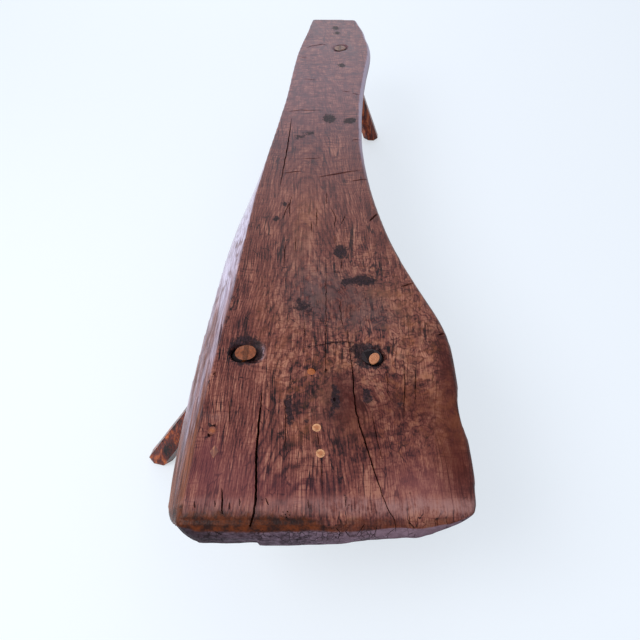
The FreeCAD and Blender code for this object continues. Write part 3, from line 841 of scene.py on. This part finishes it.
mean_sheen, grain_height = 0.36, 0.0013
sheen = mean_sheen + swing(patch, 0.25) + swing(fibre, 0.2)
sheen += end_grain * 0.45 + blotch * 0.1 + under * 0.3 - wane * 0.08
height = streak * 0.4 + fibre * 0.35 + comb * combed * 0.1 + (0.2 + far * 0.4) * ripple + burl * mottle * 0.3
height += (rim + ridge) * mottle * 0.8 - crackle * end_grain * 0.7 - pore * 0.12
wood.feed(Base_Color=finished, Roughness=sheen, Coat_Weight=wane * silvered_and_sheened * 0.8,
          Normal=wood.raise_by(height, grain_height))

# The near-black finish for cut walls, bores, hidden tenon sides and the key's shank: grime, and painted shade
# in the hollows.
dirt_and_shade = Finish("split_dirt_and_shade", Roughness=0.9, Specular_IOR_Level=0.2)
dust = dirt_and_shade.cloud((200, 60, 200), 4)
dirt_and_shade.feed(Base_Color=dirt_and_shade.blend(dust, colour(7, 4, 6), colour(30, 19, 23)))

cut_slab.materials.clear()
cut_slab.materials.append(wood.material)
cut_slab.materials.append(dirt_and_shade.material)
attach(slab_piece, "root")
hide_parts("slab_seat")

# The legs: shaved from billets to eight uneven sides, with a round tenon through the slab.
# Each tenon is driven into its splayed mortise from below and shows its end grain in the seat.
leg_edge, leg_round = 0.012, 0.0022
leg_wear, leg_scale = 0.0016, (26, 26, 11)
leg_turn, flat_turn, facet_turn = math.radians(20), 0.02, math.radians(32)
tenon_length, tenon_shown = 0.1, 0.045
division_turns = 8
TENON_END, TENON_SIDE = 1, 2


def divide(mesh, longest):
    """Splits each edge that is longer than a length, in a set number of turns at most."""
    for _ in range(division_turns):
        long_edges = [edge for edge in mesh.edges if edge.calc_length() > longest]
        if not long_edges:
            return
        bmesh.ops.subdivide_edges(mesh, edges=long_edges, cuts=1)
        bmesh.ops.triangulate(mesh, faces=[face for face in mesh.faces if len(face.verts) > 3])


def mend(mesh):
    """Takes out edges of no length, and leaves triangles."""
    bmesh.ops.dissolve_degenerate(mesh, edges=mesh.edges, dist=weld)
    bmesh.ops.triangulate(mesh, faces=mesh.faces)


def end_grain_finish(name, middle, pale, deep, grime, ring_gap=0.0021, core=None):
    """Waxed end grain: fine rings round a middle, with grime and sometimes a darker core."""
    finish = Finish(name, Specular_IOR_Level=0.25)
    centred = finish.node("ShaderNodeMapping", None,
                          {"Vector": finish.place, "Location": (-middle.x, -middle.y, 0)})
    stir = finish.cloud((240, 240, 20), 3, place=centred)
    level = finish.node("ShaderNodeVectorMath", {"operation": "MULTIPLY"}, {0: centred, 1: (1, 1, 0)})
    span = finish.node("ShaderNodeVectorMath", {"operation": "LENGTH"}, {0: level}, "Value")
    rings = finish.sine((span + swing(stir, 0.0016)) * (2 * math.pi / ring_gap))
    light = 0.5 + rings * 0.16 + swing(finish.cloud((700, 700, 60), 2, place=centred), 0.9) + swing(stir, 0.7)
    tone = finish.blend(finish.step(light, 0.1, 0.95), deep, pale)
    if core:
        reach, shade = core
        within = 1 - finish.step(span + swing(stir, 0.004), reach * 0.5, reach)
        tone = finish.blend(within * 0.75, tone, shade)
    soil = finish.step(finish.cloud((130, 130, 20), 3), 0.5, 0.7) * grime
    tone = finish.blend(soil, tone, colour(46, 24, 18))
    finish.feed(Base_Color=tone, Roughness=0.38 + swing(stir, 0.3),
                Normal=finish.raise_by(rings * 0.3 + stir, 0.0004))
    return finish.material


tenon_tones = {
    "leg_wide_left": (colour(160, 88, 50), colour(92, 43, 24), (0.010, colour(84, 41, 23))),
    "leg_wide_right": (colour(44, 26, 31), colour(14, 8, 12), None),
    "leg_narrow_end": (colour(160, 118, 102), colour(92, 60, 52), None),
}
polish = Finish("leg_wood", Specular_IOR_Level=0.14)
leg_streak = polish.cloud((70, 70, 6), 4, 0.6)
leg_fibre = polish.cloud((300, 300, 16), 2)
leg_patch = polish.cloud((18, 18, 9), 3)
leg_tone = polish.node("ShaderNodeValToRGB", {"stops": (
    (0.2, colour(22, 6, 4)), (0.85, colour(214, 108, 44)), (0.5, colour(98, 33, 20)))},
    {0: 0.5 + swing(leg_streak, 1.3) + swing(leg_fibre, 0.5) + swing(leg_patch, 0.8)})
polish.feed(Base_Color=leg_tone, Roughness=0.26 + swing(leg_patch, 0.25),
            Normal=polish.raise_by(leg_streak * 0.7 + leg_fibre * 0.3, 0.0012))

for name in leg_names:
    leg = merged(name)
    top = max(vert.co.z for vert in leg.verts)
    floor_level = min(vert.co.z for vert in leg.verts)
    bmesh.ops.dissolve_limit(leg, angle_limit=flat_turn, verts=leg.verts, edges=leg.edges)
    arrises = [edge for edge in leg.edges if edge.is_manifold and edge.calc_face_angle(0) > leg_turn
               and max(vert.co.z for vert in edge.verts) < top - tenon_length]
    bmesh.ops.bevel(leg, geom=arrises, offset=leg_round, offset_type="OFFSET", affect="EDGES",
                    segments=2, profile=0.5, material=-1, clamp_overlap=True)
    bmesh.ops.remove_doubles(leg, verts=leg.verts, dist=weld)
    mend(leg)
    divide(leg, leg_edge)
    mend(leg)
    leg.normal_update()
    for vert in leg.verts:
        if floor_level + weld < vert.co.z < top - tenon_length:
            depth = leg_wear * rolling(vert.co, leg_scale)
            vert.co -= Vector((vert.normal.x, vert.normal.y, 0)) * depth
    # The tenon's sides within the seat take the near-black finish of grime and painted shade.
    for face in leg.faces:
        if face.normal.z > level_face and face.calc_center_median().z > top - crown_depth:
            face.material_index = TENON_END
        elif face.calc_center_median().z > top - tenon_shown:
            face.material_index = TENON_SIDE
    tenon = [face.calc_center_median() for face in leg.faces if face.material_index == TENON_END]
    middle = sum(tenon, Vector()) / len(tenon)
    pale, deep, tenon_core = tenon_tones[name]
    end_finish = end_grain_finish(name + "_tenon", middle, pale, deep, grime=0.5, core=tenon_core)
    piece = placed(name + "_shaved", leg)
    piece.data.shade_smooth()
    piece.data.set_sharp_from_angle(angle=facet_turn)
    for material in (polish.material, end_finish, dirt_and_shade.material):
        piece.data.materials.append(material)
    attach(piece, "root")
    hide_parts(name)

# The wedges: thin riven slips driven into the sawn tenon ends to lock the legs in the seat.
# The wide right one is a thick pale key put in later, and the other two have darkened with age.
wedge_tones = (
    (colour(118, 62, 31), colour(72, 34, 18)),
    (colour(202, 138, 98), colour(154, 88, 56)),
    (colour(116, 80, 68), colour(62, 40, 36)),
)


def dress(node, material):
    """Gives a solid that is shown as it is one finish all over."""
    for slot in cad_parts[node].material_slots:
        slot.material = material


for name, (pale, deep) in zip(wedge_names, wedge_tones):
    dress(name, end_grain_finish(name + "_wood", middle_of(name), pale, deep, grime=0.25, ring_gap=0.003))

# The key's head is whittled to an oval that sits askew on the shank.
key = merged("wedge_wide_right")
key_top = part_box("wedge_wide_right")[1][2]
head_thick, head_round = 0.0032, 0.0012
head_half_wide, head_half_long, head_lean = 0.0098, 0.0140, math.radians(-24)
head_shift, head_rough, head_scale = Vector((0.0022, -0.0040, 0)), 0.10, 45
head_foot = key_top - head_thick
bmesh.ops.bisect_plane(key, geom=key.verts[:] + key.edges[:] + key.faces[:], plane_co=(0, 0, head_foot),
                       plane_no=(0, 0, 1), clear_outer=True)
bmesh.ops.holes_fill(key, edges=[edge for edge in key.edges if edge.is_boundary], sides=0)
shank_end = [vert.co for vert in key.verts if vert.co.z > head_foot - weld]
head_place = sum(shank_end, Vector()) / len(shank_end) + head_shift
# The shank, sunk in its slot, takes the near-black finish of grime and painted shade.
for face in key.faces:
    face.material_index = DIRT_AND_SHADE
head = bmesh.ops.create_cone(
    key, cap_ends=True, segments=28, radius1=1, radius2=1, depth=head_thick,
    matrix=Matrix.Translation((head_place.x, head_place.y, head_foot + head_thick / 2))
    @ Matrix.Rotation(head_lean, 4, "Z") @ Matrix.Diagonal((head_half_wide, head_half_long, 1, 1)))
for vert in head["verts"]:
    away = vert.co - head_place
    vert.co.xy = (head_place + away * (1 + head_rough * noise.noise(vert.co * head_scale))).xy
rim_edges = [edge for edge in key.edges if all(end.co.z > key_top - weld for end in edge.verts)]
bmesh.ops.bevel(key, geom=rim_edges, offset=head_round, offset_type="OFFSET", affect="EDGES", segments=3,
                profile=0.5, material=-1, clamp_overlap=True)
bmesh.ops.recalc_face_normals(key, faces=key.faces)
piece = placed("wedge_wide_right_whittled", key)
piece.data.shade_smooth()
piece.data.set_sharp_from_angle(angle=facet_turn)
piece.data.materials.append(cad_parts["wedge_wide_right"].material_slots[0].material)
piece.data.materials.append(dirt_and_shade.material)
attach(piece, "root")
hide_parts("wedge_wide_right")

# The pegs: plugs of pale wood turned or whittled round and driven into bored holes in the seat.
# Their end grain has taken wax, so the rims stay pale and the middles have gone orange.
peg_core = (0.006, colour(158, 88, 50))
for name, pale, deep in (
        ("peg_middle_far", colour(226, 178, 134), colour(186, 116, 72)),
        ("peg_middle_near", colour(226, 178, 134), colour(186, 116, 72)),
        ("peg_broken", colour(206, 122, 70), colour(140, 70, 36)),
        ("peg_left_far", colour(142, 76, 56), colour(92, 44, 34))):
    dress(name, end_grain_finish(name + "_wood", middle_of(name), pale, deep, grime=0.3, core=peg_core))

# The patch: a small diamond of two pale slips let into the seat's near left corner.
# It lies a hair below the seat and its grain runs along the bench.
joint_place, joint_half = middle_of("patch_left_near").x, 0.001
inlay = Finish("patch_wood", Specular_IOR_Level=0.5)
inlay_fibre = inlay.cloud((420, 40, 420), 3)
inlay_across = inlay.node("ShaderNodeSeparateXYZ", None, {0: inlay.place}, 0)
side = inlay.step(inlay_across, joint_place - joint_half, joint_place + joint_half)
inlay_tone = inlay.blend(side, colour(168, 106, 74), colour(116, 66, 46))
chipped = inlay.step(inlay.cloud((190, 110, 190), 3), 0.46, 0.54)
inlay_tone = inlay.blend(chipped * 0.8, inlay_tone, colour(96, 48, 44))
inlay_tone = inlay.blend((inlay_fibre - 0.35) * 0.8, inlay_tone, colour(82, 44, 28))
inlay.feed(Base_Color=inlay_tone, Roughness=0.36 + inlay_fibre * 0.1,
           Normal=inlay.raise_by(inlay_fibre, 0.0004))
dress("patch_left_near", inlay.material)

# The setting: a plain pale floor under soft light from the near left and from beyond the narrow end.
# The side behind the eye is darker, so that the worn roundings keep their depth.
floor_span, floor_glow = 60.0, 0.56
floor_mesh = bmesh.new()
bmesh.ops.create_grid(floor_mesh, x_segments=1, y_segments=1, size=floor_span / 2)
floor = placed("floor", floor_mesh)
sheet = Finish("floor_paper", Roughness=0.9, Specular_IOR_Level=0.1, Base_Color=colour(240, 245, 252))
glow = sheet.node("ShaderNodeEmission", None, {"Color": colour(246, 252, 255), "Strength": 1.0})


def shown_backdrop(work):
    """1 where the eye sees a backdrop, straight or in a reflection."""
    seen_paths = ("Is Camera Ray", "Is Glossy Ray", "Is Transmission Ray")
    straight_on, mirrored, through = (work.node("ShaderNodeLightPath", output=name) for name in seen_paths)
    return straight_on + mirrored + through


mixed = sheet.node("ShaderNodeMixShader", None, {0: shown_backdrop(sheet) * floor_glow,
                                                 1: Reading(sheet, sheet.shader.outputs[0]), 2: glow})
sheet.links.new(mixed.socket, sheet.nodes["Material Output"].inputs["Surface"])
floor.data.materials.append(sheet.material)

world = bpy.data.worlds.new("studio")
bpy.context.scene.world = world
world.use_nodes = True
studio = Nodework(world.node_tree)
heading = studio.node("ShaderNodeTexCoord", output="Generated")
bright_side = (-0.25, 0.6, 0.55)
lean = studio.node("ShaderNodeVectorMath", {"operation": "DOT_PRODUCT"},
                   {0: heading, 1: bright_side}, "Value")
soft_light = studio.blend(studio.step(lean, -0.6, 0.4), (0.26, 0.25, 0.25, 1), (0.70, 0.76, 0.88, 1))
backdrop = studio.blend(shown_backdrop(studio), soft_light, (0.90, 0.95, 1.0, 1))
studio.links.new(backdrop.socket, studio.nodes["Background"].inputs["Color"])

target = Vector((0.0, 0.0, seat_height))
lamp_colour = (0.97, 0.98, 1.0)
for name, place, wide, tall, power in (
        ("overhead_lamp", (-1.5, -1.2, 2.5), 1.4, 1.4, 42),
        ("far_lamp", (-0.6, 3.6, 1.9), 3.2, 1.5, 26)):
    lamp = bpy.data.lights.new(name, "AREA")
    lamp.shape, lamp.size, lamp.size_y, lamp.energy = "RECTANGLE", wide, tall, power
    lamp.color = lamp_colour
    holder = bpy.data.objects.new(name, lamp)
    holder.location = place
    holder.rotation_euler = (target - holder.location).to_track_quat("-Z", "Y").to_euler()
    bpy.context.scene.collection.objects.link(holder)

bpy.context.scene.view_settings.view_transform = "Standard"
